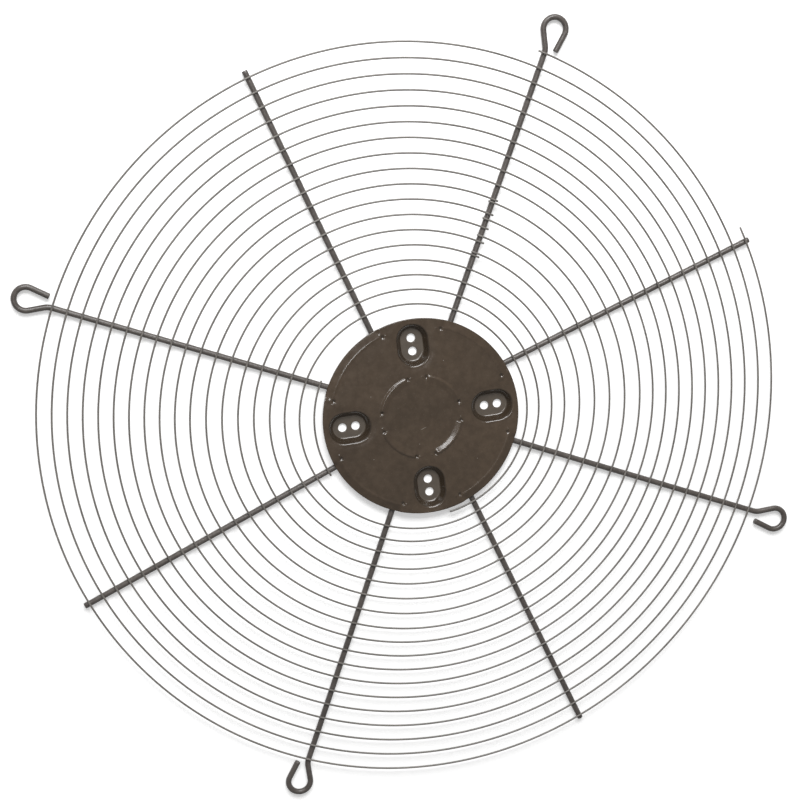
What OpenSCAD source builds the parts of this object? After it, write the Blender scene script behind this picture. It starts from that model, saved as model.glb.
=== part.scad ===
// Flat wire fan guard: a pressed hub plate welded on eight radial spokes, four of them ending in
// open hooks, with a spiral of fine wire welded across the spokes.
// Millimetres. The guard lies on z = 0, its axis is Z, and the fine wires are on the upper side.

/* [Hub plate] */
// Outside diameter of the hub plate
hub_d = 164; // [160:1:176]
// Thickness of the hub plate's sheet
sheet_t = 1.5; // [1:0.1:2]
// Width of the flat edge that is welded on the spokes
rim_flat = 3; // [2:0.5:4]
// Width of the slope between the flat edge and the raised face
rim_slope = 3; // [2:0.5:4]
// Height of the raised face above the flat edge
face_rise = 1.2; // [0.8:0.1:2]
// Height of the thin lip where the slope meets the face
lip_rise = 0.4; // [0.2:0.1:0.6]
// Half of the angle, about each pocket, over which the edge stays level with the face
level_half_angle = 20; // [17:1:21]

/* [Pockets and stud holes] */
// Turn of the first pocket about the axis
pocket_azimuth = 8; // [4:1:10]
// Diameter of the inner circle of stud holes
inner_pcd = 109; // [107:1:112]
// Diameter of the outer circle of stud holes
outer_pcd = 131; // [128:1:133]
// Diameter of a stud hole
stud_hole_d = 7.1; // [5:0.1:8]
// Width of a pocket's flat floor
pocket_floor_w = 15.6; // [13:0.2:17]
// Distance from a stud hole's centre to the end of the floor
pocket_end_margin = 6.7; // [5.5:0.1:7.5]
// Distance by which a pocket's mouth stands outside its floor, all round
pocket_flare = 6; // [4:0.5:7]

/* [Pressed marks] */
// Radius of the four curved beads
bead_r = 33.5; // [26:0.5:36]
// Half of the angle that a bead covers
bead_half_angle = 30; // [15:1:36]
// Width of a bead at its foot
bead_w = 4.4; // [3:0.2:6]
// Width of the slope that a bead rises over on its inner side
bead_rise_w = 2.6; // [1:0.1:3]
// Width of the slope that a bead falls over on its outer side
bead_fall_w = 1.2; // [0.6:0.1:3]
// Height of a bead
bead_h = 0.9; // [0.4:0.1:1.2]
// Distance of the edge marks from the rim of the hub plate
edge_mark_inset = 7.5; // [6.5:0.5:9]
// Width of a punch mark at the face
mark_d = 3.6; // [2:0.2:4.8]
// Width of a punch mark at its floor
mark_floor_d = 1.4; // [0.6:0.2:1.8]
// Angle by which a punch mark lies beyond the end of its bead or edge
mark_past_angle = 1; // [0.5:0.5:3]
// Depth of a mark
mark_depth = 0.6; // [0.3:0.1:0.8]

/* [Spokes] */
// Diameter of the spoke wire
spoke_d = 4.76; // [4:0.02:6]
// Length of a spoke that lies under the hub plate
spoke_lap = 32; // [20:1:34]
// Directions of the hook spokes, counter-clockwise from +X
hook_azimuths = [71.6, 163.1, 252.4, 342.7]; // [0:0.1:360]
// Distances of the hook spokes' axes from the centre, to their counter-clockwise side
hook_offsets = [2.4, -1.6, 2.6, 2.2]; // [-4:0.1:4]
// Directions of the short spokes, counter-clockwise from +X
short_azimuths = [26.2, 116.5, 208.5, 297]; // [0:0.1:360]
// Distances of the short spokes' axes from the centre, to their counter-clockwise side
short_offsets = [8, 6.6, 3, 8]; // [2:0.1:9]
// Lengths of the short spokes outside the last fine wire
short_overhangs = [3.2, 5.3, 4.5, 7.5]; // [2:0.1:10]

/* [Hooks] */
// Distance from the centre to the middle of an eye, along its spoke
eye_reach = 330.5; // [324:0.5:350]
// Distance of an eye's middle from its spoke's axis, to the clockwise side
eye_side = 1.3; // [0:0.1:3]
// Inside diameter of an eye
eye_d = 13.9; // [12:0.1:17]
// Angle by which the neck leaves the spoke's axis
neck_angle = 27; // [20:1:35]
// Centre-line radius of the neck's bend
neck_bend_r = 15; // [8:1:18]
// Angle by which the tail leans back towards the spoke
tail_lean = 9; // [2:1:12]
// Length of the straight tail
tail_length = 15.4; // [8:0.2:17]
// Distance by which bending draws the wire's surface in
bend_draw = 0.01; // [0.008:0.001:0.02]

/* [Fine wires] */
// Diameter of the fine wire
fine_d = 1.6; // [1.2:0.1:2.4]
// Distance between neighbouring turns
coil_pitch = 12; // [10:0.1:12.6]
// Clear gap between the hub plate and the start of the coil
coil_gap = 3.5; // [2:0.1:6]
// Turns of the coil that keep an even pitch before its turns fan out
even_turns = 3; // [2:1:4]
// Turns made by each of the two outer wires
outer_turns = 5; // [4:1:5]
// Angle that the longer outer wire goes on past its last full turn
outer_last_angle = 317; // [300:1:340]
// Angle that the coil has covered since the weld spoke where its inner end starts
coil_start_angle = 218; // [180:1:240]
// Distance by which the inner turns lie off the centre
lean_inner = 5.1; // [0:0.1:8]
// Distance by which the outermost turn lies off the centre
lean_outer = 10.9; // [0:0.1:14]
// Direction in which the coil lies off the centre
lean_azimuth = 152; // [0:1:360]
// Length of a wire's end beyond the spoke that it is welded on
weld_overhang = 4; // [2.6:0.1:6]
// Clear gap between the hub plate and the separate inner wire
inner_wire_gap = 5.9; // [4:0.1:6.4]

/* [Fits] */
// Gap between pieces that lie on each other at a weld
seat_gap = 0.02; // [0.01:0.01:0.1]

/* [Hidden] */

plate_colour = [0.33, 0.29, 0.25];
spoke_colour = [0.36, 0.32, 0.31];
fine_colour = [0.46, 0.44, 0.42];

round_fn = 96;
wire_fn = 32;
cut_over = 1;

// Levels, from the base up
spoke_z = spoke_d / 2;
spoke_top = spoke_d;
rim_bottom = spoke_top + seat_gap;
face_bottom = rim_bottom + face_rise;
face_top = face_bottom + sheet_t;
fine_z = spoke_top + seat_gap + fine_d / 2;

// Hub plate
hub_r = hub_d / 2;
slope_outer_r = hub_r - rim_flat;
slope_inner_r = slope_outer_r - rim_slope;
lip_r = slope_inner_r - rim_slope / 2;
mark_r = hub_r - edge_mark_inset;
sheet_lap = 2;
quarter = 90;

// Pockets: the walls slope at one angle, so their thickness across is the sheet's along the slope
pocket_r = (inner_pcd + outer_pcd) / 4;
stud_spacing = (outer_pcd - inner_pcd) / 2;
pocket_straight = stud_spacing + 2 * pocket_end_margin - pocket_floor_w;
pocket_depth = face_top - sheet_t;
pocket_slope = pocket_flare / pocket_depth;
pocket_wall = sheet_t * sqrt(1 + pow(pocket_slope, 2));

// Spokes and hooks
spoke_start = hub_r - spoke_lap;
eye_bend_r = (eye_d + spoke_d) / 2;
eye_turn = 180 + neck_angle + tail_lean;
neck_drift = eye_bend_r * cos(neck_angle) - eye_side - neck_bend_r * (1 - cos(neck_angle));
neck_straight = neck_drift / sin(neck_angle);
neck_length = neck_bend_r * sin(neck_angle) + neck_straight * cos(neck_angle);
neck_start = eye_reach - eye_bend_r * sin(neck_angle) - neck_length;
bend_lap = 0.3;

// Fine wires: turns count on from the weld spoke, where the rings start and end.
// The coil's turns are even, then each ring opens wider until two outer wires run side by side.
weld_spoke = 0;
ring_count = 3;
outer_lanes = 2;
first_ring = even_turns + 2;
first_outer = first_ring + ring_count;
outermost = first_outer + outer_lanes * (outer_turns + outer_last_angle / 360);
coil_zero_r = hub_r + coil_gap + fine_d / 2 - coil_pitch * coil_start_angle / 360;
inner_wire_r = hub_r + inner_wire_gap + fine_d / 2;
steps_per_turn = 48;
wire_sides = 6;

// Direction of a spoke's axis where it crosses the circle of radius r
function spoke_direction(azimuth, offset, r) = azimuth + asin(offset / r);
weld_azimuth = spoke_direction(hook_azimuths[weld_spoke], hook_offsets[weld_spoke], 2 * hub_r);

// Pitches that one turn moves out, for a turn that starts k pitches out
function turn_growth(k) =
    min(max(1 + (outer_lanes - 1) * (k - even_turns) / (first_outer - even_turns), 1), outer_lanes);

// Pitches out from the coil's zero, part turns on from a start k pitches out
function coil_reach(k, part) =
    part <= 1
        ? k + turn_growth(k) * part
        : coil_reach(k + turn_growth(k), part - 1);

// Distance by which a turn that lies k pitches out is off the centre
function coil_lean(k) = min(k, 1) * (lean_inner + (lean_outer - lean_inner) * k / outermost);

// Distance of a wire from the axis, part turns on from a start k pitches out
function coil_radius(k, part) =
    let (reach = coil_reach(k, part))
    let (azimuth = weld_azimuth + 360 * part)
    coil_zero_r + coil_pitch * reach + coil_lean(reach) * cos(azimuth - lean_azimuth);

// Part of a turn that an arc of the given length covers at the coil radius r
function arc_part(length, r) = length / (2 * PI * r);

function polar(r, azimuth) = [r * cos(azimuth), r * sin(azimuth)];

// Points along a wire from part turns `from` to part turns `to`
function coil_points(k, from, to) =
    let (steps = ceil((to - from) * steps_per_turn))
    [for (i = [0 : steps])
        let (part = from + (to - from) * i / steps)
        polar(coil_radius(k, part), weld_azimuth + 360 * part)];

// Corners of a wire's section at point i of its path
function wire_section(path, i) =
    let (before = path[max(i - 1, 0)])
    let (after = path[min(i + 1, len(path) - 1)])
    let (along = (after - before) / norm(after - before))
    let (across = [along.y, -along.x])
    [for (s = [0 : wire_sides - 1])
        let (turn = 90 + 360 * s / wire_sides)
        let (side = path[i] + across * cos(turn) * fine_d / 2)
        [side.x, side.y, fine_z + sin(turn) * fine_d / 2]];

module fine_wire(path) {
    last = (len(path) - 1) * wire_sides;
    corners = [for (i = [0 : len(path) - 1]) each wire_section(path, i)];
    walls = [for (i = [0 : wire_sides : last - 1], s = [0 : wire_sides - 1])
        let (t = (s + 1) % wire_sides)
        [i + s, i + t, i + wire_sides + t, i + wire_sides + s]];
    start_cap = [for (s = [wire_sides - 1 : -1 : 0]) s];
    end_cap = [for (s = [0 : wire_sides - 1]) last + s];
    color(fine_colour) polyhedron(points = corners, faces = concat([start_cap], walls, [end_cap]));
}

// A wire from a start k pitches out; both ends run on beyond their weld
module coil_run(k, turns, start_part = 0) {
    start_over = arc_part(weld_overhang, coil_radius(k, start_part));
    end_over = arc_part(weld_overhang, coil_radius(k, turns));
    fine_wire(coil_points(k, start_part - start_over, turns + end_over));
}

module inner_wire() {
    over = 360 * arc_part(weld_overhang, inner_wire_r);
    from = spoke_direction(hook_azimuths[1], hook_offsets[1], inner_wire_r) - over;
    to = spoke_direction(short_azimuths[2], short_offsets[2], inner_wire_r) + over;
    steps = ceil((to - from) * steps_per_turn / 360);
    fine_wire([for (i = [0 : steps]) polar(inner_wire_r, from + (to - from) * i / steps)]);
}

module coil_wire() {
    coil_run(0, first_ring, coil_start_angle / 360);
}

module ring_wire(i) {
    coil_run(first_ring + i, 1);
}

module outer_wire(i) {
    coil_run(first_outer + i, outer_turns + (i == 0 ? outer_last_angle / 360 : 0));
}

// Lays a spoke's own frame in the guard, with +X outwards along its axis from its inner end
module along_spoke(azimuth, offset) {
    rotate([0, 0, azimuth])
        translate([spoke_start, offset, spoke_z])
            children();
}

// Straight spoke wire from the origin along +X; its children go on from its end
module straight(length) {
    rotate([0, 90, 0])
        cylinder(d = spoke_d, h = length, $fn = wire_fn);
    translate([length, 0, 0])
        children();
}

// Spoke wire bent from the origin and +X through a turn, to the left where it is positive.
// Both ends lap into the straight wire beside them; its children go on from its end.
module bend(r, turn) {
    side = sign(turn);
    lap = bend_lap / r * 180 / PI;
    translate([0, side * r, 0]) {
        rotate([0, 0, -side * (90 + lap)])
            rotate_extrude(angle = turn + side * 2 * lap, $fn = round_fn)
                translate([r, 0])
                    circle(d = spoke_d - 2 * bend_draw, $fn = wire_fn);
        rotate([0, 0, turn])
            translate([0, -side * r, 0])
                children();
    }
}

module hook_spoke(i) {
    color(spoke_colour) along_spoke(hook_azimuths[i], hook_offsets[i])
        straight(neck_start - spoke_start)
            bend(neck_bend_r, neck_angle)
                straight(neck_straight)
                    bend(eye_bend_r, -eye_turn)
                        straight(tail_length);
}

// Distance from the axis of the last fine wire that crosses a short spoke
function last_wire_r(azimuth) =
    coil_radius(first_outer, outer_turns + ((azimuth - weld_azimuth + 360) % 360) / 360);

module short_spoke(i) {
    direction = spoke_direction(short_azimuths[i], short_offsets[i], last_wire_r(short_azimuths[i]));
    color(spoke_colour) along_spoke(short_azimuths[i], short_offsets[i])
        straight(last_wire_r(direction) + short_overhangs[i] - spoke_start);
}

// Repeats its children at the starts of the four edges, each with its +X through the start
module at_edges() {
    for (i = [0 : 3])
        rotate([0, 0, quarter * i])
            children();
}

// Repeats its children at the four pockets, each with its +X outwards through the pocket
module at_pockets() {
    at_edges()
        rotate([0, 0, -level_half_angle])
            children();
}

// Revolves its children, drawn in the plane of radius and height, through the arc of an edge
module edge_arc() {
    rotate_extrude(angle = quarter - 2 * level_half_angle, $fn = round_fn)
        children();
}

// Space of the level sheet that an edge takes the place of
module edge_cut() {
    edge_arc()
        translate([lip_r, face_bottom - cut_over])
            square([hub_r - lip_r + cut_over, sheet_t + 2 * cut_over]);
}

// Edge between two pockets: up over the lip, down the slope and out flat on the spokes
module edge() {
    edge_arc()
        polygon([
            [lip_r - sheet_lap, face_bottom],
            [lip_r, face_bottom],
            [slope_inner_r, face_bottom + lip_rise],
            [slope_outer_r, rim_bottom],
            [hub_r, rim_bottom],
            [hub_r, rim_bottom + sheet_t],
            [slope_outer_r, rim_bottom + sheet_t],
            [slope_inner_r, face_top + lip_rise],
            [lip_r, face_top],
            [lip_r - sheet_lap, face_top]
        ]);
}

// Tapered solid with round ends, along X: a half-width at its foot and one at its top
module tapered_slot(z_foot, z_top, foot_r, top_r) {
    for (side = [-1, 1])
        translate([side * pocket_straight / 2, 0, z_foot])
            cylinder(r1 = foot_r, r2 = top_r, h = z_top - z_foot, $fn = round_fn);
    translate([pocket_straight / 2, 0, 0])
        rotate([90, 0, -90])
            linear_extrude(pocket_straight)
                polygon([[-foot_r, z_foot], [foot_r, z_foot], [top_r, z_top], [-top_r, z_top]]);
}

// Half-width of a pocket's hollow at height z
function pocket_half(z) = pocket_floor_w / 2 + pocket_slope * (z - sheet_t);

// Outside of a pocket, up to the middle of the sheet that it is drawn from
module pocket_cup() {
    top = face_bottom + sheet_t / 2;
    translate([pocket_r, 0, 0])
        tapered_slot(0, top, pocket_half(0) + pocket_wall, pocket_half(top) + pocket_wall);
}

module pocket_hollow() {
    top = face_top + cut_over;
    translate([pocket_r, 0, 0])
        tapered_slot(sheet_t, top, pocket_half(sheet_t), pocket_half(top));
}

module stud_holes() {
    for (pcd = [inner_pcd, outer_pcd])
        translate([pcd / 2, 0, -cut_over])
            cylinder(d = stud_hole_d, h = sheet_t + 2 * cut_over, $fn = round_fn);
}

// Bead centred between two pockets: its slopes run on straight to below the base height
module bead(base_z, foot_drop) {
    rotate([0, 0, quarter / 2 - bead_half_angle])
        rotate_extrude(angle = 2 * bead_half_angle, $fn = round_fn)
            translate([bead_r, base_z])
                polygon([
                    [-bead_w / 2 - foot_drop * bead_rise_w / bead_h, -foot_drop],
                    [bead_w / 2 + foot_drop * bead_fall_w / bead_h, -foot_drop],
                    [bead_w / 2 - bead_fall_w, bead_h],
                    [-bead_w / 2 + bead_rise_w, bead_h]
                ]);
}

// Shallow round mark in the face, with a sloping wall
module punch_mark(r, angle) {
    rotate([0, 0, angle])
        translate([r, 0, face_top - mark_depth])
            cylinder(
                d1 = mark_floor_d,
                d2 = mark_d + (mark_d - mark_floor_d) * cut_over / mark_depth,
                h = mark_depth + cut_over,
                $fn = wire_fn
            );
}

// Level disc with its four pockets drawn and their holes pierced
module drawn_disc() {
    difference() {
        union() {
            translate([0, 0, face_bottom])
                cylinder(r = hub_r, h = sheet_t, $fn = round_fn);
            at_pockets() pocket_cup();
        }
        at_pockets() {
            pocket_hollow();
            stud_holes();
        }
    }
}

// Drawn with the first edge's start on +X, so that disc and edges share one frame, then turned
module hub_plate() {
    color(plate_colour) rotate([0, 0, pocket_azimuth + level_half_angle]) difference() {
        union() {
            difference() {
                drawn_disc();
                at_edges() edge_cut();
            }
            at_edges() edge();
            at_pockets() bead(face_top, sheet_t / 2);
        }
        at_pockets() {
            bead(face_bottom, cut_over);
            for (side = [-1, 1]) {
                punch_mark(mark_r, side * (level_half_angle - mark_past_angle));
                punch_mark(bead_r, quarter / 2 + side * (bead_half_angle + mark_past_angle));
            }
        }
    }
}

hub_plate();
hook_spoke(0);  // hook_spoke_1
hook_spoke(1);  // hook_spoke_2
hook_spoke(2);  // hook_spoke_3
hook_spoke(3);  // hook_spoke_4
short_spoke(0);  // short_spoke_1
short_spoke(1);  // short_spoke_2
short_spoke(2);  // short_spoke_3
short_spoke(3);  // short_spoke_4
inner_wire();
coil_wire();
ring_wire(0);  // ring_wire_1
ring_wire(1);  // ring_wire_2
ring_wire(2);  // ring_wire_3
outer_wire(0);  // outer_wire_1
outer_wire(1);  // outer_wire_2
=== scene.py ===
"""Looks of a flat wire fan guard: a pressed hub plate on eight spokes, with a spiral of fine wire."""

import math

import bpy
import numpy as np
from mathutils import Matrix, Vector
from mathutils.geometry import delaunay_2d_cdt


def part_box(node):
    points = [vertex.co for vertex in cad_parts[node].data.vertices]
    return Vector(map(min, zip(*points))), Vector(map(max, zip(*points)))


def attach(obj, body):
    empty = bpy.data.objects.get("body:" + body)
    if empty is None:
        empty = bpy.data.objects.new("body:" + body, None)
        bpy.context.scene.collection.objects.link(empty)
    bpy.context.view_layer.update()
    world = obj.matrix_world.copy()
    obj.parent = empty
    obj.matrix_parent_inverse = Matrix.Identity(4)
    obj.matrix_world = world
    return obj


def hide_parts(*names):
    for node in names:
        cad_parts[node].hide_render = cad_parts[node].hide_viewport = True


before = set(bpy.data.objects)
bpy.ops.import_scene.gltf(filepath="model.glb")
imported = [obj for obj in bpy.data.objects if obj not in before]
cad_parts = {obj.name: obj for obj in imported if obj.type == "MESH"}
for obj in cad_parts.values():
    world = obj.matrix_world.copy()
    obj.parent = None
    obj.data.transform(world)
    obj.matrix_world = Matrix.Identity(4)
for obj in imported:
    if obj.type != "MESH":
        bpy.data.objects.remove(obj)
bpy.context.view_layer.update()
MM = 0.001

# ---------------------------------------------------------------- sizes, in millimetres

# Levels come from the frame: spokes lie on 0, the fine wires on them, the plate above both.
SPOKE_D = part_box("short_spoke_1")[1].z / MM
FINE_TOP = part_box("coil_wire")[1].z / MM
FINE_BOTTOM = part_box("coil_wire")[0].z / MM
FINE_R = (FINE_TOP - FINE_BOTTOM) / 2
FINE_Z = (FINE_TOP + FINE_BOTTOM) / 2
PLATE_LOW, PLATE_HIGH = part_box("hub_plate")
HUB_R = 82.0

SHEET = 1.5
BEAD_H = 0.9
FACE_TOP = PLATE_HIGH.z / MM - BEAD_H
FACE_RISE = 1.2
LIP_RISE = 0.4
RIM_FLAT = 3.0
RIM_SLOPE = 3.0
LEVEL_HALF = 20.0

POCKET_AZIMUTH = 8.0
POCKET_R = 60.0
STUD_R = 3.55
STUD_SPACING = 11.0
FLOOR_HALF = 7.8
POCKET_STRAIGHT = 8.8
POCKET_FLARE = 6.8
WALL_SHIFT = 0.85

BEAD_R = 33.5
BEAD_HALF = 30.0
MARK_R = HUB_R - 7.5

SPOKE_START = 50.0
HOOK_AZIMUTHS = (71.6, 163.1, 252.4, 342.7)
HOOK_OFFSETS = (2.4, -1.6, 2.6, 2.2)
SHORT_AZIMUTHS = (26.2, 116.5, 208.5, 297.0)
SHORT_OFFSETS = (8.0, 6.6, 3.0, 8.0)
SHORT_OVERHANGS = (3.2, 5.3, 4.5, 7.5)

EYE_REACH = 330.5
EYE_SIDE = 1.3
EYE_BEND_R = 9.33
NECK_ANGLE = 27.0
NECK_BEND_R = 15.0
TAIL_LEAN = 9.0
TAIL_LENGTH = 15.4

PITCH = 12.0
COIL_START = 218.0
COIL_GAP = 3.5
EVEN_TURNS = 3
RING_COUNT = 3
OUTER_LANES = 2
OUTER_TURNS = 5
OUTER_LAST = 317.0
LEAN_INNER = 5.1
LEAN_OUTER = 10.9
LEAN_AZIMUTH = 152.0
WELD_OVERHANG = 4.0
INNER_WIRE_GAP = 5.9

FIRST_RING = EVEN_TURNS + 2
FIRST_OUTER = FIRST_RING + RING_COUNT
OUTERMOST = FIRST_OUTER + OUTER_LANES * (OUTER_TURNS + OUTER_LAST / 360)
COIL_ZERO = HUB_R + COIL_GAP + FINE_R - PITCH * COIL_START / 360


# ---------------------------------------------------------------- curves of the wires


def spoke_direction(azimuth, offset, r):
    """Direction in which a spoke's axis, that far off the centre, crosses the circle of radius r."""
    return azimuth + math.degrees(math.asin(offset / r))


WELD_AZIMUTH = spoke_direction(HOOK_AZIMUTHS[0], HOOK_OFFSETS[0], 2 * HUB_R)


def turn_growth(k):
    """Pitches that a turn moves out: one in the even coil, rising evenly to two in the outer lanes."""
    rise = (OUTER_LANES - 1) * (k - EVEN_TURNS) / (FIRST_OUTER - EVEN_TURNS)
    return min(max(1 + rise, 1), OUTER_LANES)


def coil_reach(k, part):
    """Pitches out from the coil's zero, `part` turns on from a start k pitches out.

    Each turn moves out evenly by its own growth and the next one goes on from there."""
    part = np.asarray(part, float)
    reach = k + turn_growth(k) * part
    start, done = float(k), 0
    while part.max() > done + 1:
        start += turn_growth(start)
        done += 1
        reach = np.where(part >= done, start + turn_growth(start) * (part - done), reach)
    return reach


def coil_radius(k, part):
    """Distance from the axis: the pitch times the reach, plus the lean times the cosine of the
    angle from the lean, by which each turn lies off the centre."""
    reach = coil_reach(k, part)
    lean = np.minimum(reach, 1) * (LEAN_INNER + (LEAN_OUTER - LEAN_INNER) * reach / OUTERMOST)
    azimuth = np.radians(WELD_AZIMUTH + 360 * np.asarray(part, float) - LEAN_AZIMUTH)
    return COIL_ZERO + PITCH * reach + lean * np.cos(azimuth)


# How the laid wires stray from that law: each row is for the innermost turn, the turns halfway
# out and the outermost one.
STRAY_OUT = (2.0, -1.0, 1.0)
STRAY_X = (2.0, 0.0, 1.0)
STRAY_Y = (-1.0, 0.0, -2.0)
STRAY_OVAL = (1.5, 1.0, -2.0)


def on_the_way_out(values, part):
    """Value at a part of the way out: the parabola through those at its start, middle and end."""
    inner, middle, outer = values
    return (inner * (1 - part) * (1 - 2 * part) + middle * 4 * part * (1 - part)
            + outer * part * (2 * part - 1))


def stray(reach, azimuth):
    """Distance that a wire strays outwards: the stray all round, plus its strays along X and Y
    times the cosine and sine of the azimuth, plus the oval's times the cosine of twice that."""
    part = reach / OUTERMOST
    return (on_the_way_out(STRAY_OUT, part)
            + on_the_way_out(STRAY_X, part) * np.cos(azimuth)
            + on_the_way_out(STRAY_Y, part) * np.sin(azimuth)
            + on_the_way_out(STRAY_OVAL, part) * np.cos(2 * azimuth))


def arc_part(length, r):
    """Part of a full turn that an arc of that length takes at radius r."""
    return length / (2 * math.pi * r)


def coil_path(k, turns, start=0.0):
    """Centre line of a wire of the spiral in polar form, with both ends run on past their welds."""
    first = start - arc_part(WELD_OVERHANG, float(coil_radius(k, [start])[0]))
    last = turns + arc_part(WELD_OVERHANG, float(coil_radius(k, [turns])[0]))
    part = np.linspace(first, last, int((last - first) * STEPS_PER_TURN) + 1)
    angle = np.radians(WELD_AZIMUTH + 360 * part)
    r = coil_radius(k, part) + stray(coil_reach(k, part), angle)
    return np.stack([r * np.cos(angle), r * np.sin(angle), np.full_like(r, FINE_Z)], 1)


def inner_wire_path():
    """Arc of one radius beside the hub plate, from the second hook spoke to the third short one."""
    r = HUB_R + INNER_WIRE_GAP + FINE_R
    over = 360 * arc_part(WELD_OVERHANG, r)
    first = spoke_direction(HOOK_AZIMUTHS[1], HOOK_OFFSETS[1], r) - over
    last = spoke_direction(SHORT_AZIMUTHS[2], SHORT_OFFSETS[2], r) + over
    angle = np.radians(np.linspace(first, last, int((last - first) * STEPS_PER_TURN / 360) + 1))
    return np.stack([r * np.cos(angle), r * np.sin(angle), np.full_like(angle, FINE_Z)], 1)


def lay_spoke(path, azimuth, offset):
    """Turns a path drawn outwards along +X to the spoke's direction and moves it to its offset."""
    a = math.radians(azimuth)
    x = path[:, 0] * math.cos(a) - (path[:, 1] + offset) * math.sin(a)
    y = path[:, 0] * math.sin(a) + (path[:, 1] + offset) * math.cos(a)
    return np.stack([x, y, np.full_like(x, SPOKE_D / 2)], 1)


def run_on(path, length, turn=0.0, heading=0.0, step=1.0):
    """Points that go on from a path's end: straight, or on an arc when it turns by some degrees.

    On an arc the heading turns evenly with the length, so the points are the running sum of
    steps along headings taken at the middle of each step."""
    count = max(2, int(round(length / step)))
    part = (np.arange(count) + 0.5) / count
    way = np.radians(heading + turn * part)
    chord = length / count
    if turn:
        half = math.radians(abs(turn)) / count / 2
        chord *= math.sin(half) / half
    points = np.cumsum(np.stack([np.cos(way), np.sin(way)], 1) * chord, 0)
    return np.concatenate([path, path[-1] + points]), heading + turn


def hook_path():
    """Spoke's centre line in its own plane: straight, neck bend, neck, eye and tail."""
    eye_turn = 180 + NECK_ANGLE + TAIL_LEAN
    neck = math.radians(NECK_ANGLE)
    drift = EYE_BEND_R * math.cos(neck) - EYE_SIDE - NECK_BEND_R * (1 - math.cos(neck))
    straight = drift / math.sin(neck)
    reach = (NECK_BEND_R + EYE_BEND_R) * math.sin(neck) + straight * math.cos(neck)
    path = np.array([[SPOKE_START, 0.0]])
    path, way = run_on(path, EYE_REACH - reach - SPOKE_START, step=2.5)
    path, way = run_on(path, NECK_BEND_R * neck, NECK_ANGLE, way, 0.5)
    path, way = run_on(path, straight, 0.0, way)
    path, way = run_on(path, EYE_BEND_R * math.radians(eye_turn), -eye_turn, way, 0.5)
    path, way = run_on(path, TAIL_LENGTH, 0.0, way)
    return path


def short_path(i):
    """Straight centre line that ends its overhang past the last fine wire that crosses it."""

    def last_wire(azimuth):
        part = OUTER_TURNS + ((azimuth - WELD_AZIMUTH) % 360) / 360
        return float(coil_radius(FIRST_OUTER, [part])[0])

    direction = spoke_direction(SHORT_AZIMUTHS[i], SHORT_OFFSETS[i], last_wire(SHORT_AZIMUTHS[i]))
    end = last_wire(direction) + SHORT_OVERHANGS[i]
    x = np.linspace(SPOKE_START, end, int((end - SPOKE_START) / 2.5))
    return np.stack([x, np.zeros_like(x)], 1)


# ---------------------------------------------------------------- meshes

STEPS_PER_TURN = 240


def new_piece(name, points, quads, triangles, material, smooth=True):
    """Mesh object from arrays of corners in millimetres, four-sided and three-sided faces."""
    mesh = bpy.data.meshes.new(name)
    corners = np.concatenate([quads.ravel(), triangles.ravel()]).astype(np.int32)
    sizes = np.concatenate([np.full(len(quads), 4), np.full(len(triangles), 3)]).astype(np.int32)
    starts = np.concatenate([[0], np.cumsum(sizes)[:-1]]).astype(np.int32)
    mesh.vertices.add(len(points))
    mesh.vertices.foreach_set("co", (points * MM).astype(np.float32).ravel())
    mesh.loops.add(len(corners))
    mesh.loops.foreach_set("vertex_index", corners)
    mesh.polygons.add(len(sizes))
    mesh.polygons.foreach_set("loop_start", starts)
    mesh.polygons.foreach_set("loop_total", sizes)
    mesh.polygons.foreach_set("use_smooth", np.full(len(sizes), smooth))
    mesh.update(calc_edges=True)
    mesh.validate()
    piece = bpy.data.objects.new(name, mesh)
    bpy.context.scene.collection.objects.link(piece)
    mesh.materials.append(material)
    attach(piece, "root")
    return piece


def rod(name, path, radius, sides, chamfer, material):
    """Round rod swept along a level path, with slightly chamfered square ends.

    A ring's point is the path's point, plus the sideways unit vector times the radius times the
    cosine of its angle, plus the upward vector times the radius times the sine. The two ends
    each get a narrower ring at the face and a middle point that closes it."""
    along = np.gradient(path, axis=0)
    along /= np.linalg.norm(along, axis=1, keepdims=True)
    first, last = path[0], path[-1]
    path = np.concatenate([[first], [first + along[0] * chamfer], path[1:-1],
                           [last - along[-1] * chamfer], [last]])
    along = np.concatenate([along[:1], along[:1], along[1:-1], along[-1:], along[-1:]])
    reach = np.full(len(path), float(radius))
    reach[[0, -1]] = radius - chamfer
    across = np.stack([along[:, 1], -along[:, 0], np.zeros(len(along))], 1)
    turn = np.linspace(0, 2 * np.pi, sides, endpoint=False)
    rings = (path[:, None] + across[:, None] * (np.cos(turn)[None, :, None] * reach[:, None, None])
             + np.array([0, 0, 1.0]) * (np.sin(turn)[None, :, None] * reach[:, None, None]))
    points = np.concatenate([rings.reshape(-1, 3), [first, last]])
    i, s = np.meshgrid(np.arange(len(path) - 1), np.arange(sides), indexing="ij")
    t = (s + 1) % sides
    quads = np.stack([i * sides + s, i * sides + t, (i + 1) * sides + t, (i + 1) * sides + s], -1)
    s = np.arange(sides)
    t = (s + 1) % sides
    low, high = len(points) - 2, len(points) - 1
    end = (len(path) - 1) * sides
    caps = np.concatenate([np.stack([np.full(sides, low), t, s], 1),
                           np.stack([np.full(sides, high), end + s, end + t], 1)])
    piece = new_piece(name, points, quads.reshape(-1, 4)[:, ::-1], caps[:, ::-1], material)
    return piece


# ---------------------------------------------------------------- hub plate


def smooth_step(x):
    """Rises from 0 to 1 as x does, with level ends: x squared times (3 - 2x)."""
    x = np.clip(x, 0, 1)
    return x * x * (3 - 2 * x)


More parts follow.
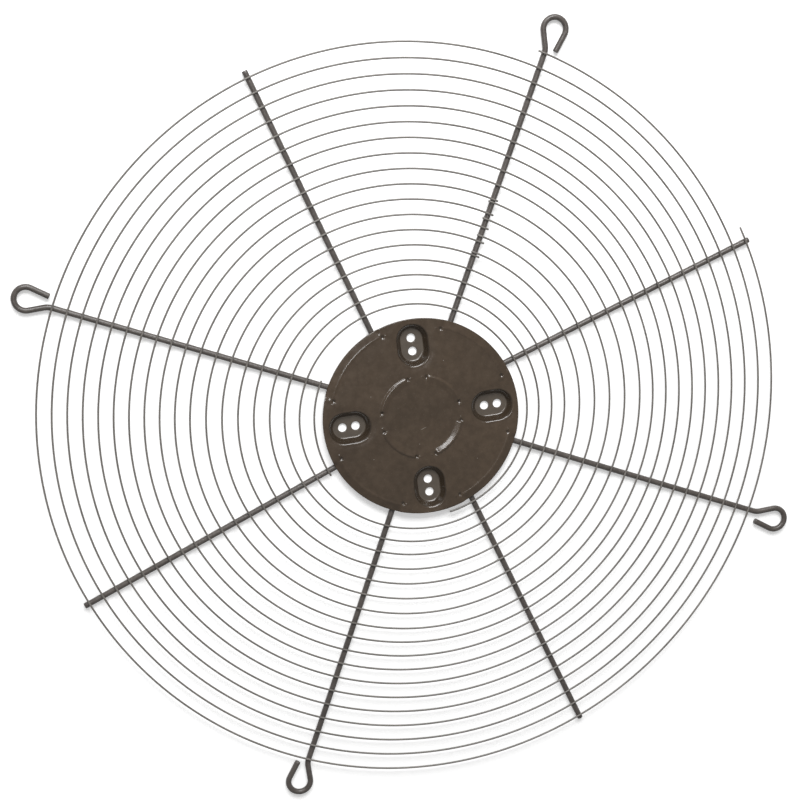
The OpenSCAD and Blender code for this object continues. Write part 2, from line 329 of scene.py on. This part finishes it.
def pocket_distance(x, y):
    """Distance from the nearest pocket's middle line, a radial segment about each pocket's middle."""
    nearest = np.full(np.shape(x), 1e9)
    for i in range(4):
        a = math.radians(POCKET_AZIMUTH + 90 * i)
        along = x * math.cos(a) + y * math.sin(a) - POCKET_R
        across = y * math.cos(a) - x * math.sin(a)
        beyond = np.maximum(np.abs(along) - POCKET_STRAIGHT / 2, 0)
        nearest = np.minimum(nearest, np.hypot(beyond, across))
    return nearest


def past_pocket(x, y):
    """Angle in degrees, from 0 to 90, since the last pocket."""
    return (np.degrees(np.arctan2(y, x)) - POCKET_AZIMUTH) % 90


def edge_rise(x, y):
    """Height of the formed edge over the level sheet: up over a lip, down a slope, out flat.

    Straight runs between the profile's corners, softened by averaging the profile with copies
    moved in and out, and faded out over three degrees at each end of the arc."""
    r = np.hypot(x, y)
    corner_r = [HUB_R - 7.4, HUB_R - 6.4, HUB_R - 0.5, HUB_R]
    corner_z = [0, 0.8 * LIP_RISE, -FACE_RISE, -FACE_RISE]
    profile = sum(np.interp(r + move, corner_r, corner_z) for move in (-0.5, -0.2, 0.2, 0.5)) / 4
    inside = np.minimum(past_pocket(x, y) - LEVEL_HALF, 90 - LEVEL_HALF - past_pocket(x, y))
    return profile * smooth_step(inside / 3 + 0.5)


def bead_rise(x, y):
    """Height of the four curved beads: a long, gentle slope up from within and a steep fall."""
    r = np.hypot(x, y)
    corners = [BEAD_R - 4.6, BEAD_R + 0.2, BEAD_R + 0.5, BEAD_R + 1.7]
    profile = sum(np.interp(r + move, corners, [0, 1, 1, 0]) for move in (-0.3, 0, 0.3)) / 3
    inside = BEAD_HALF - np.abs(past_pocket(x, y) - 45)
    return BEAD_H * profile * smooth_step(inside / 2.4 + 0.4)


def mark_places(beyond=0.0):
    """Middles of the punch marks past the ends of the beads and of the formed edges, or places
    on the same circles, moved on by a length away from the bead or edge."""
    places = []
    for i in range(4):
        pocket = POCKET_AZIMUTH + 90 * i
        for side in (-1, 1):
            places.append((MARK_R, pocket + side * (LEVEL_HALF - 1), -side))
            places.append((BEAD_R, pocket + 45 + side * (BEAD_HALF + 1), side))
    return [(r * math.cos(math.radians(a) + side * beyond / r),
             r * math.sin(math.radians(a) + side * beyond / r)) for r, a, side in places]


def mark_drop(x, y):
    """Depth of the punch marks: each a bowl, (1 - (d/radius) squared) squared times its depth,
    with a smaller raised burr next to it on the side away from the bead or edge."""
    drop = np.zeros(np.shape(x))
    for places, radius, depth in ((mark_places(), 2.2, 0.8), (mark_places(3.1), 1.3, -0.3)):
        for mx, my in places:
            d = np.hypot(x - mx, y - my)
            drop += depth * np.clip(1 - (d / radius) ** 2, 0, 1) ** 2
    return drop


def pocket_sag(x, y):
    """Fall of the sheet towards the lips of the pockets, a bell curve of the distance to them."""
    gap = np.maximum(pocket_distance(x, y) - FLOOR_HALF - POCKET_FLARE, 0)
    return 0.22 * np.exp(-(gap / 2.2) ** 2)


def unevenness(x, y):
    """Slow waves of a few hundredths of a millimetre, as in any pressed sheet."""
    return 0.05 * (np.sin(0.11 * x + 0.07 * y) * np.cos(0.09 * y - 0.05 * x + 1.3)
                   + 0.5 * np.sin(0.23 * x - 0.19 * y + 0.6))


def stud_places():
    """Middles of the eight stud holes."""
    places = []
    for i in range(4):
        a = math.radians(POCKET_AZIMUTH + 90 * i)
        for r in (POCKET_R - STUD_SPACING / 2, POCKET_R + STUD_SPACING / 2):
            places.append((r * math.cos(a), r * math.sin(a)))
    return places


def edge_round(x, y, radius=0.3):
    """Fall of a sheared edge beside the rim and the holes: a quarter circle of the given radius."""
    gap = HUB_R - np.hypot(x, y)
    for sx, sy in stud_places():
        gap = np.minimum(gap, np.hypot(x - sx, y - sy) - STUD_R)
    part = np.clip(1 - gap / radius, 0, 1)
    return radius * (1 - np.sqrt(np.maximum(1 - part ** 2, 0)))


def plate_level(x, y):
    """Height of the sheet's upper face apart from the pockets."""
    return (FACE_TOP + edge_rise(x, y) + bead_rise(x, y) + unevenness(x, y)
            - pocket_sag(x, y))


def pocket_rise(x, y, shift):
    """Part of the way up a pocket's wall, steepest halfway, with a fillet at its foot and lip."""
    part = (pocket_distance(x, y) - FLOOR_HALF - shift) / POCKET_FLARE
    return smooth_step((part - 0.1) / 0.8)


def plate_top(x, y):
    """Upper face: from a pocket's floor up its wall to the level sheet, less marks and edges."""
    top = SHEET + (plate_level(x, y) - SHEET) * pocket_rise(x, y, 0)
    return top - mark_drop(x, y) - edge_round(x, y)


def plate_bottom(x, y):
    """Lower face: the same form one thickness lower, with its walls moved out to keep it."""
    bottom = (plate_level(x, y) - SHEET) * pocket_rise(x, y, WALL_SHIFT)
    return np.maximum(bottom, 0) + edge_round(x, y) * 0.7


def circle(cx, cy, r, count, turn=0.0):
    """Points spaced evenly round a circle."""
    a = turn + np.linspace(0, 2 * np.pi, count, endpoint=False)
    return np.stack([cx + r * np.cos(a), cy + r * np.sin(a)], 1)


def pocket_outline(i, d, step):
    """Points spaced evenly at the distance d round the middle line of pocket i."""
    half = POCKET_STRAIGHT / 2
    length = 2 * POCKET_STRAIGHT + 2 * math.pi * d
    s = np.linspace(0, length, max(16, int(length / step)), endpoint=False)
    turn = math.pi * d
    u = np.where(s < POCKET_STRAIGHT, s - half, 0)
    v = np.where(s < POCKET_STRAIGHT, -d, 0.0)
    a = (s - POCKET_STRAIGHT) / d - math.pi / 2
    on = (s >= POCKET_STRAIGHT) & (s < POCKET_STRAIGHT + turn)
    u, v = np.where(on, half + d * np.cos(a), u), np.where(on, d * np.sin(a), v)
    back = s - POCKET_STRAIGHT - turn
    on = (back >= 0) & (back < POCKET_STRAIGHT)
    u, v = np.where(on, half - back, u), np.where(on, d, v)
    a = (back - POCKET_STRAIGHT) / d + math.pi / 2
    on = back >= POCKET_STRAIGHT
    u, v = np.where(on, -half + d * np.cos(a), u), np.where(on, d * np.sin(a), v)
    u = u + POCKET_R
    a = math.radians(POCKET_AZIMUTH + 90 * i)
    return np.stack([u * math.cos(a) - v * math.sin(a), u * math.sin(a) + v * math.cos(a)], 1)


def plate_layout():
    """Points of the plate in plan, on curves that follow its forms, with the rim and holes first.

    Returns the points and the lengths of the closed loops at their head."""
    studs = stud_places()
    loops = [circle(0, 0, HUB_R, 480)] + [circle(sx, sy, STUD_R, 48) for sx, sy in studs]
    rings = []
    radii = np.concatenate([np.arange(1.8, 27.5, 1.8), np.arange(28.2, 37, 0.4),
                            np.arange(38.2, 73, 1.5), np.arange(73.6, 81.4, 0.4),
                            [81.7, 81.85, 81.95]])
    for k, r in enumerate(radii):
        step = 1.1 if r > 30 else 1.8
        count = 480 if r > 81.5 else int(2 * math.pi * r / step)
        rings.append(circle(0, 0, r, count, 0.5 * (k % 2) * 2 * math.pi / count))
    field = np.concatenate(rings + [np.zeros((1, 2))])
    field = field[pocket_distance(field[:, 0], field[:, 1]) > 16.1]
    fine = []
    for i in range(4):
        for d in np.concatenate([[5.6, 6.3], np.arange(6.7, 15.8, 0.36)]):
            fine.append(pocket_outline(i, d, 1.0))
    fine = np.concatenate(fine)
    grid = np.stack(np.meshgrid(np.arange(-76, 76, 1.3), np.arange(-76, 76, 1.3)), -1).reshape(-1, 2)
    fine = np.concatenate([fine, grid[pocket_distance(grid[:, 0], grid[:, 1]) < 5.2]])
    for places, keep_off, radii in ((studs, 4.7, (3.6, 3.7, 3.85, 4.3)),
                                    (mark_places(), 2.6, (0.5, 1.0, 1.4, 1.8, 2.2))):
        for px, py in places:
            field = field[np.hypot(field[:, 0] - px, field[:, 1] - py) > keep_off]
            fine = fine[np.hypot(fine[:, 0] - px, fine[:, 1] - py) > keep_off]
        for px, py in places:
            count = 48 if places is studs else 20
            around = [circle(px, py, r, count) for r in radii]
            fine = np.concatenate([fine] + around + ([] if places is studs else [[[px, py]]]))
    points = np.concatenate(loops + [field, fine])
    return points, [len(loop) for loop in loops]


def hub_plate(material):
    """Closed sheet between two height functions over one triangulated plan, with rim and holes."""
    plan, loops = plate_layout()
    pairs, start = [], 0
    for length in loops:
        pairs += [(start + k, start + (k + 1) % length) for k in range(length)]
        start += length
    corners, _, faces, origins, _, _ = delaunay_2d_cdt(
        [Vector(p) for p in plan.tolist()], pairs, [], 0, 1e-7)
    plan = np.array([tuple(c) for c in corners], float)
    faces = np.array(faces, int)
    middle = plan[faces].mean(1)
    keep = np.hypot(middle[:, 0], middle[:, 1]) < HUB_R
    for sx, sy in stud_places():
        keep &= np.hypot(middle[:, 0] - sx, middle[:, 1] - sy) > STUD_R * 0.999
    faces = faces[keep]
    a, b, c = (plan[faces[:, k]] for k in range(3))
    turn = (b[:, 0] - a[:, 0]) * (c[:, 1] - a[:, 1]) - (b[:, 1] - a[:, 1]) * (c[:, 0] - a[:, 0])
    faces[turn < 0] = faces[turn < 0][:, ::-1]
    x, y = plan[:, 0], plan[:, 1]
    top = np.stack([x, y, plate_top(x, y)], 1)
    bottom = np.stack([x, y, plate_bottom(x, y)], 1)
    count = len(plan)
    edges = np.concatenate([faces[:, [0, 1]], faces[:, [1, 2]], faces[:, [2, 0]]])
    key = edges.min(1) * count + edges.max(1)
    _, place, times = np.unique(key, return_index=True, return_counts=True)
    rim = edges[place[times == 1]]
    walls = np.stack([rim[:, 1], rim[:, 0], rim[:, 0] + count, rim[:, 1] + count], 1)
    triangles = np.concatenate([faces, faces[:, ::-1] + count])
    piece = new_piece("hub_plate_sheet", np.concatenate([top, bottom]), walls, triangles, material)
    piece.data.set_sharp_from_angle(angle=math.radians(40))
    return piece


# ---------------------------------------------------------------- materials


def add_node(tree, kind, **values):
    """Adds a node and sets its properties, or its sockets where a name is a socket's."""
    node = tree.nodes.new(kind)
    for key, value in values.items():
        name = key.replace("_", " ")
        if name in node.inputs:
            node.inputs[name].default_value = value
        else:
            setattr(node, key, value)
    return node


def noise(tree, place, scale, detail, low, high):
    """Noise in object coordinates, stretched so that the span from low to high fills 0 to 1."""
    texture = add_node(tree, "ShaderNodeTexNoise", Scale=scale, Detail=detail)
    tree.links.new(place, texture.inputs["Vector"])
    spread = add_node(tree, "ShaderNodeMapRange")
    spread.inputs["From Min"].default_value = low
    spread.inputs["From Max"].default_value = high
    tree.links.new(texture.outputs["Fac"], spread.inputs["Value"])
    return spread.outputs["Result"]


def blend(tree, factor, first, second, mode="MIX"):
    """Mixes two colours by a factor; each may be a socket or a constant."""
    mix = tree.nodes.new("ShaderNodeMix")
    mix.data_type = "RGBA"
    mix.blend_type = mode
    for socket, value in ((mix.inputs["Factor"], factor), (mix.inputs["A"], first),
                          (mix.inputs["B"], second)):
        if hasattr(value, "is_linked"):
            tree.links.new(value, socket)
        else:
            socket.default_value = value
    return mix.outputs["Result"]


def painted_steel_group():
    """Node group of old paint on steel: mottled colour, uneven gloss and a fine orange peel."""
    tree = bpy.data.node_groups.new("painted_steel", "ShaderNodeTree")
    for name, kind in (("Paint", "NodeSocketColor"), ("Worn", "NodeSocketColor"),
                       ("Gloss Low", "NodeSocketFloat"), ("Gloss High", "NodeSocketFloat"),
                       ("Wear", "NodeSocketFloat")):
        tree.interface.new_socket(name, in_out="INPUT", socket_type=kind)
    for name, kind in (("Color", "NodeSocketColor"), ("Roughness", "NodeSocketFloat"),
                       ("Height", "NodeSocketFloat")):
        tree.interface.new_socket(name, in_out="OUTPUT", socket_type=kind)
    given = tree.nodes.new("NodeGroupInput")
    out = tree.nodes.new("NodeGroupOutput")
    place = tree.nodes.new("ShaderNodeTexCoord").outputs["Object"]
    cloud = noise(tree, place, 22, 3, 0.3, 0.7)
    mottle = noise(tree, place, 210, 4, 0.34, 0.66)
    speck = noise(tree, place, 900, 2, 0.66, 0.72)
    darker = blend(tree, cloud, (0.86, 0.86, 0.86, 1), (1.12, 1.12, 1.12, 1))
    colour = blend(tree, 1.0, given.outputs["Paint"], darker, "MULTIPLY")
    fine = blend(tree, mottle, (0.9, 0.9, 0.9, 1), (1.1, 1.1, 1.1, 1))
    colour = blend(tree, 1.0, colour, fine, "MULTIPLY")
    worn = add_node(tree, "ShaderNodeMath", operation="MULTIPLY")
    tree.links.new(speck, worn.inputs[0])
    tree.links.new(given.outputs["Wear"], worn.inputs[1])
    colour = blend(tree, worn.outputs[0], colour, given.outputs["Worn"])
    gloss = tree.nodes.new("ShaderNodeMapRange")
    tree.links.new(mottle, gloss.inputs["Value"])
    tree.links.new(given.outputs["Gloss Low"], gloss.inputs["To Min"])
    tree.links.new(given.outputs["Gloss High"], gloss.inputs["To Max"])
    tree.links.new(colour, out.inputs["Color"])
    tree.links.new(gloss.outputs["Result"], out.inputs["Roughness"])
    tree.links.new(mottle, out.inputs["Height"])
    return tree


def painted(name, group, paint, worn, gloss, wear, peel, coat=0.0):
    """Material of the shared paint group with its own colours, roughness span and wear."""
    material = bpy.data.materials.new(name)
    material.use_nodes = True
    tree = material.node_tree
    shader = tree.nodes["Principled BSDF"]
    effect = add_node(tree, "ShaderNodeGroup", node_tree=group)
    effect.inputs["Paint"].default_value = (*paint, 1)
    effect.inputs["Worn"].default_value = (*worn, 1)
    effect.inputs["Gloss Low"].default_value = gloss[0]
    effect.inputs["Gloss High"].default_value = gloss[1]
    effect.inputs["Wear"].default_value = wear
    bump = add_node(tree, "ShaderNodeBump", Strength=peel, Distance=0.0002)
    tree.links.new(effect.outputs["Color"], shader.inputs["Base Color"])
    tree.links.new(effect.outputs["Roughness"], shader.inputs["Roughness"])
    tree.links.new(effect.outputs["Height"], bump.inputs["Height"])
    tree.links.new(bump.outputs["Normal"], shader.inputs["Normal"])
    shader.inputs["IOR"].default_value = 1.5
    shader.inputs["Coat Weight"].default_value = coat
    shader.inputs["Coat Roughness"].default_value = 0.08
    return material


def add_specks(material, places):
    """Small pale specks at places on the plate: one minus distance over radius, cut at zero."""
    tree = material.node_tree
    shader = tree.nodes["Principled BSDF"]
    colour = shader.inputs["Base Color"].links[0].from_socket
    position = tree.nodes.new("ShaderNodeTexCoord").outputs["Object"]
    for x, y, half_length, half_width, turn, strength in places:
        mapping = add_node(tree, "ShaderNodeMapping", vector_type="TEXTURE")
        mapping.inputs["Location"].default_value = (x * MM, y * MM, FACE_TOP * MM)
        mapping.inputs["Rotation"].default_value = (0, 0, math.radians(turn))
        mapping.inputs["Scale"].default_value = (half_length * MM, half_width * MM, 0.01)
        tree.links.new(position, mapping.inputs["Vector"])
        length = add_node(tree, "ShaderNodeVectorMath", operation="LENGTH")
        tree.links.new(mapping.outputs["Vector"], length.inputs[0])
        fade = add_node(tree, "ShaderNodeMapRange")
        fade.inputs["From Min"].default_value = 1.0
        fade.inputs["From Max"].default_value = 0.6
        fade.inputs["To Max"].default_value = strength
        tree.links.new(length.outputs["Value"], fade.inputs["Value"])
        colour = blend(tree, fade.outputs["Result"], colour, (0.42, 0.40, 0.36, 1))
    tree.links.new(colour, shader.inputs["Base Color"])


def span(tree, value, start, end):
    """Smooth rise from 0 to 1 as a value goes from start to end."""
    rise = add_node(tree, "ShaderNodeMapRange", interpolation_type="SMOOTHSTEP")
    tree.links.new(value, rise.inputs["Value"])
    rise.inputs["From Min"].default_value = start
    rise.inputs["From Max"].default_value = end
    return rise.outputs["Result"]


def multiply(tree, first, second):
    """Product of two values; the second may be a constant."""
    product = add_node(tree, "ShaderNodeMath", operation="MULTIPLY")
    tree.links.new(first, product.inputs[0])
    if hasattr(second, "is_linked"):
        tree.links.new(second, product.inputs[1])
    else:
        product.inputs[1].default_value = second
    return product.outputs[0]


def add_painted_shade_and_dust(material):
    """Painted shade on the pockets' walls and in the marks, and dust on the pockets' floors.

    The painted shade is darker paint where these recesses lie in shade: the rise over the depth
    under the face, times the rise over the height above the floors, inside the radius of the
    formed edges. Dust is the fall over that same height."""
    tree = material.node_tree
    shader = tree.nodes["Principled BSDF"]
    colour = shader.inputs["Base Color"].links[0].from_socket
    place = tree.nodes.new("ShaderNodeTexCoord").outputs["Object"]
    split = tree.nodes.new("ShaderNodeSeparateXYZ")
    tree.links.new(place, split.inputs[0])
    flat = add_node(tree, "ShaderNodeVectorMath", operation="MULTIPLY")
    tree.links.new(place, flat.inputs[0])
    flat.inputs[1].default_value = (1, 1, 0)
    reach = add_node(tree, "ShaderNodeVectorMath", operation="LENGTH")
    tree.links.new(flat.outputs["Vector"], reach.inputs[0])
    deep = span(tree, split.outputs["Z"], (FACE_TOP - 0.1) * MM, (FACE_TOP - 0.8) * MM)
    raised = span(tree, split.outputs["Z"], (SHEET + 0.1) * MM, (SHEET + 0.7) * MM)
    inside = span(tree, reach.outputs["Value"], (HUB_R - 4.5) * MM, (HUB_R - 5.5) * MM)
    painted_shade = multiply(tree, multiply(tree, deep, raised), multiply(tree, inside, 0.5))
    dust = multiply(tree, span(tree, split.outputs["Z"], (SHEET + 0.6) * MM, SHEET * MM),
                    multiply(tree, inside, 0.22))
    # Painted shade: near-black paint on the pocket walls and in the marks, standing in for the shade
    # of these recesses.
    colour = blend(tree, painted_shade, colour, (0.012, 0.009, 0.006, 1))
    colour = blend(tree, dust, colour, (0.2, 0.19, 0.17, 1))
    tree.links.new(colour, shader.inputs["Base Color"])


paint_group = painted_steel_group()
plate_paint = painted("plate_paint", paint_group, (0.060, 0.041, 0.026), (0.16, 0.14, 0.12),
                      (0.18, 0.26), 0.15, 0.05, coat=0.5)
spoke_paint = painted("spoke_paint", paint_group, (0.082, 0.071, 0.064), (0.2, 0.19, 0.18),
                      (0.28, 0.45), 0.6, 0.3, coat=0.1)
wire_paint = painted("wire_paint", paint_group, (0.16, 0.148, 0.135), (0.28, 0.27, 0.25),
                     (0.3, 0.45), 0.5, 0.2)
add_specks(plate_paint, [
    (1.7, -9.8, 3.2, 0.22, 27, 0.5), (-1.2, -22.9, 0.45, 0.35, 0, 0.5),
    (17.3, 46.8, 0.45, 0.3, 60, 0.5), (-39.3, -35.2, 0.45, 0.3, 30, 0.5),
    (-42.6, 17.3, 0.4, 0.4, 0, 0.4), (48.0, -36.0, 0.4, 0.3, 0, 0.4)])
# Painted shade on the pocket walls and in the punch marks, and dust on the pocket floors.
add_painted_shade_and_dust(plate_paint)

# ---------------------------------------------------------------- pieces

SPOKE_SIDES = 24
WIRE_SIDES = 12

piece = hub_plate(plate_paint)
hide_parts("hub_plate")

for i in range(4):
    path = lay_spoke(hook_path(), HOOK_AZIMUTHS[i], HOOK_OFFSETS[i])
    piece = rod(f"hook_rod_{i + 1}", path, SPOKE_D / 2, SPOKE_SIDES, 0.25, spoke_paint)
    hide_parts(f"hook_spoke_{i + 1}")
    path = lay_spoke(short_path(i), SHORT_AZIMUTHS[i], SHORT_OFFSETS[i])
    piece = rod(f"short_rod_{i + 1}", path, SPOKE_D / 2, SPOKE_SIDES, 0.25, spoke_paint)
    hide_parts(f"short_spoke_{i + 1}")

WIRES = [("inner_wire", inner_wire_path()),
         ("coil_wire", coil_path(0, FIRST_RING, COIL_START / 360))]
WIRES += [(f"ring_wire_{i + 1}", coil_path(FIRST_RING + i, 1)) for i in range(RING_COUNT)]
WIRES += [(f"outer_wire_{i + 1}",
           coil_path(FIRST_OUTER + i, OUTER_TURNS + (OUTER_LAST / 360 if i == 0 else 0)))
          for i in range(OUTER_LANES)]
for node, path in WIRES:
    piece = rod(node.replace("wire", "round"), path, FINE_R, WIRE_SIDES, 0.12, wire_paint)
    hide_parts(node)

# ---------------------------------------------------------------- stage, light and camera


def area_light(name, place, target, size, energy, colour=(1, 1, 1)):
    """Soft rectangular light at a place in metres, aimed at a target."""
    data = bpy.data.lights.new(name, "AREA")
    data.shape = "RECTANGLE"
    data.size, data.size_y = size
    data.energy = energy
    data.color = colour
    light = bpy.data.objects.new(name, data)
    light.location = place
    light.rotation_euler = (Vector(target) - Vector(place)).to_track_quat("-Z", "Y").to_euler()
    bpy.context.scene.collection.objects.link(light)


TARGET = Vector((-0.01802, 0.01405, 0.00558))
VIEW_BACK = Vector((-0.1779, 0.1860, 0.9663)).normalized()
camera_data = bpy.data.cameras.new("camera")
camera_data.lens = 72.7
camera_data.sensor_width = 36
camera_data.clip_end = 20
camera = bpy.data.objects.new("camera", camera_data)
camera.rotation_mode = "QUATERNION"
camera.rotation_quaternion = Vector((0, 0, 1)).rotation_difference(VIEW_BACK)
camera.location = TARGET + VIEW_BACK * 1.325
bpy.context.scene.collection.objects.link(camera)
bpy.context.scene.camera = camera

floor_mesh = bpy.data.meshes.new("floor")
floor_mesh.from_pydata([(-6, -6, -0.0005), (6, -6, -0.0005), (6, 6, -0.0005), (-6, 6, -0.0005)],
                       [], [(0, 1, 2, 3)])
floor = bpy.data.objects.new("floor", floor_mesh)
bpy.context.scene.collection.objects.link(floor)
floor_material = bpy.data.materials.new("floor")
floor_material.use_nodes = True
floor_shader = floor_material.node_tree.nodes["Principled BSDF"]
floor_shader.inputs["Base Color"].default_value = (0.95, 0.95, 0.95, 1)
floor_shader.inputs["Roughness"].default_value = 0.9
floor_shader.inputs["Specular IOR Level"].default_value = 0.0
floor_shader.inputs["Emission Color"].default_value = (1, 1, 1, 1)
seen = floor_material.node_tree.nodes.new("ShaderNodeLightPath")
glow = add_node(floor_material.node_tree, "ShaderNodeMath", operation="MULTIPLY")
glow.inputs[1].default_value = 0.3
floor_material.node_tree.links.new(seen.outputs["Is Camera Ray"], glow.inputs[0])
floor_material.node_tree.links.new(glow.outputs[0], floor_shader.inputs["Emission Strength"])
floor_mesh.materials.append(floor_material)

area_light("key", (-0.15, 1.5, 1.35), (0, 0, 0), (1.6, 1.0), 50)
area_light("overhead", (-0.13, 0.13, 1.9), (0, 0, 0), (0.3, 0.3), 3.5)

world = bpy.data.worlds.new("studio")
world.use_nodes = True
world.node_tree.nodes["Background"].inputs["Color"].default_value = (1, 1, 1, 1)
world.node_tree.nodes["Background"].inputs["Strength"].default_value = 0.25
bpy.context.scene.world = world
bpy.context.scene.view_settings.view_transform = "Standard"
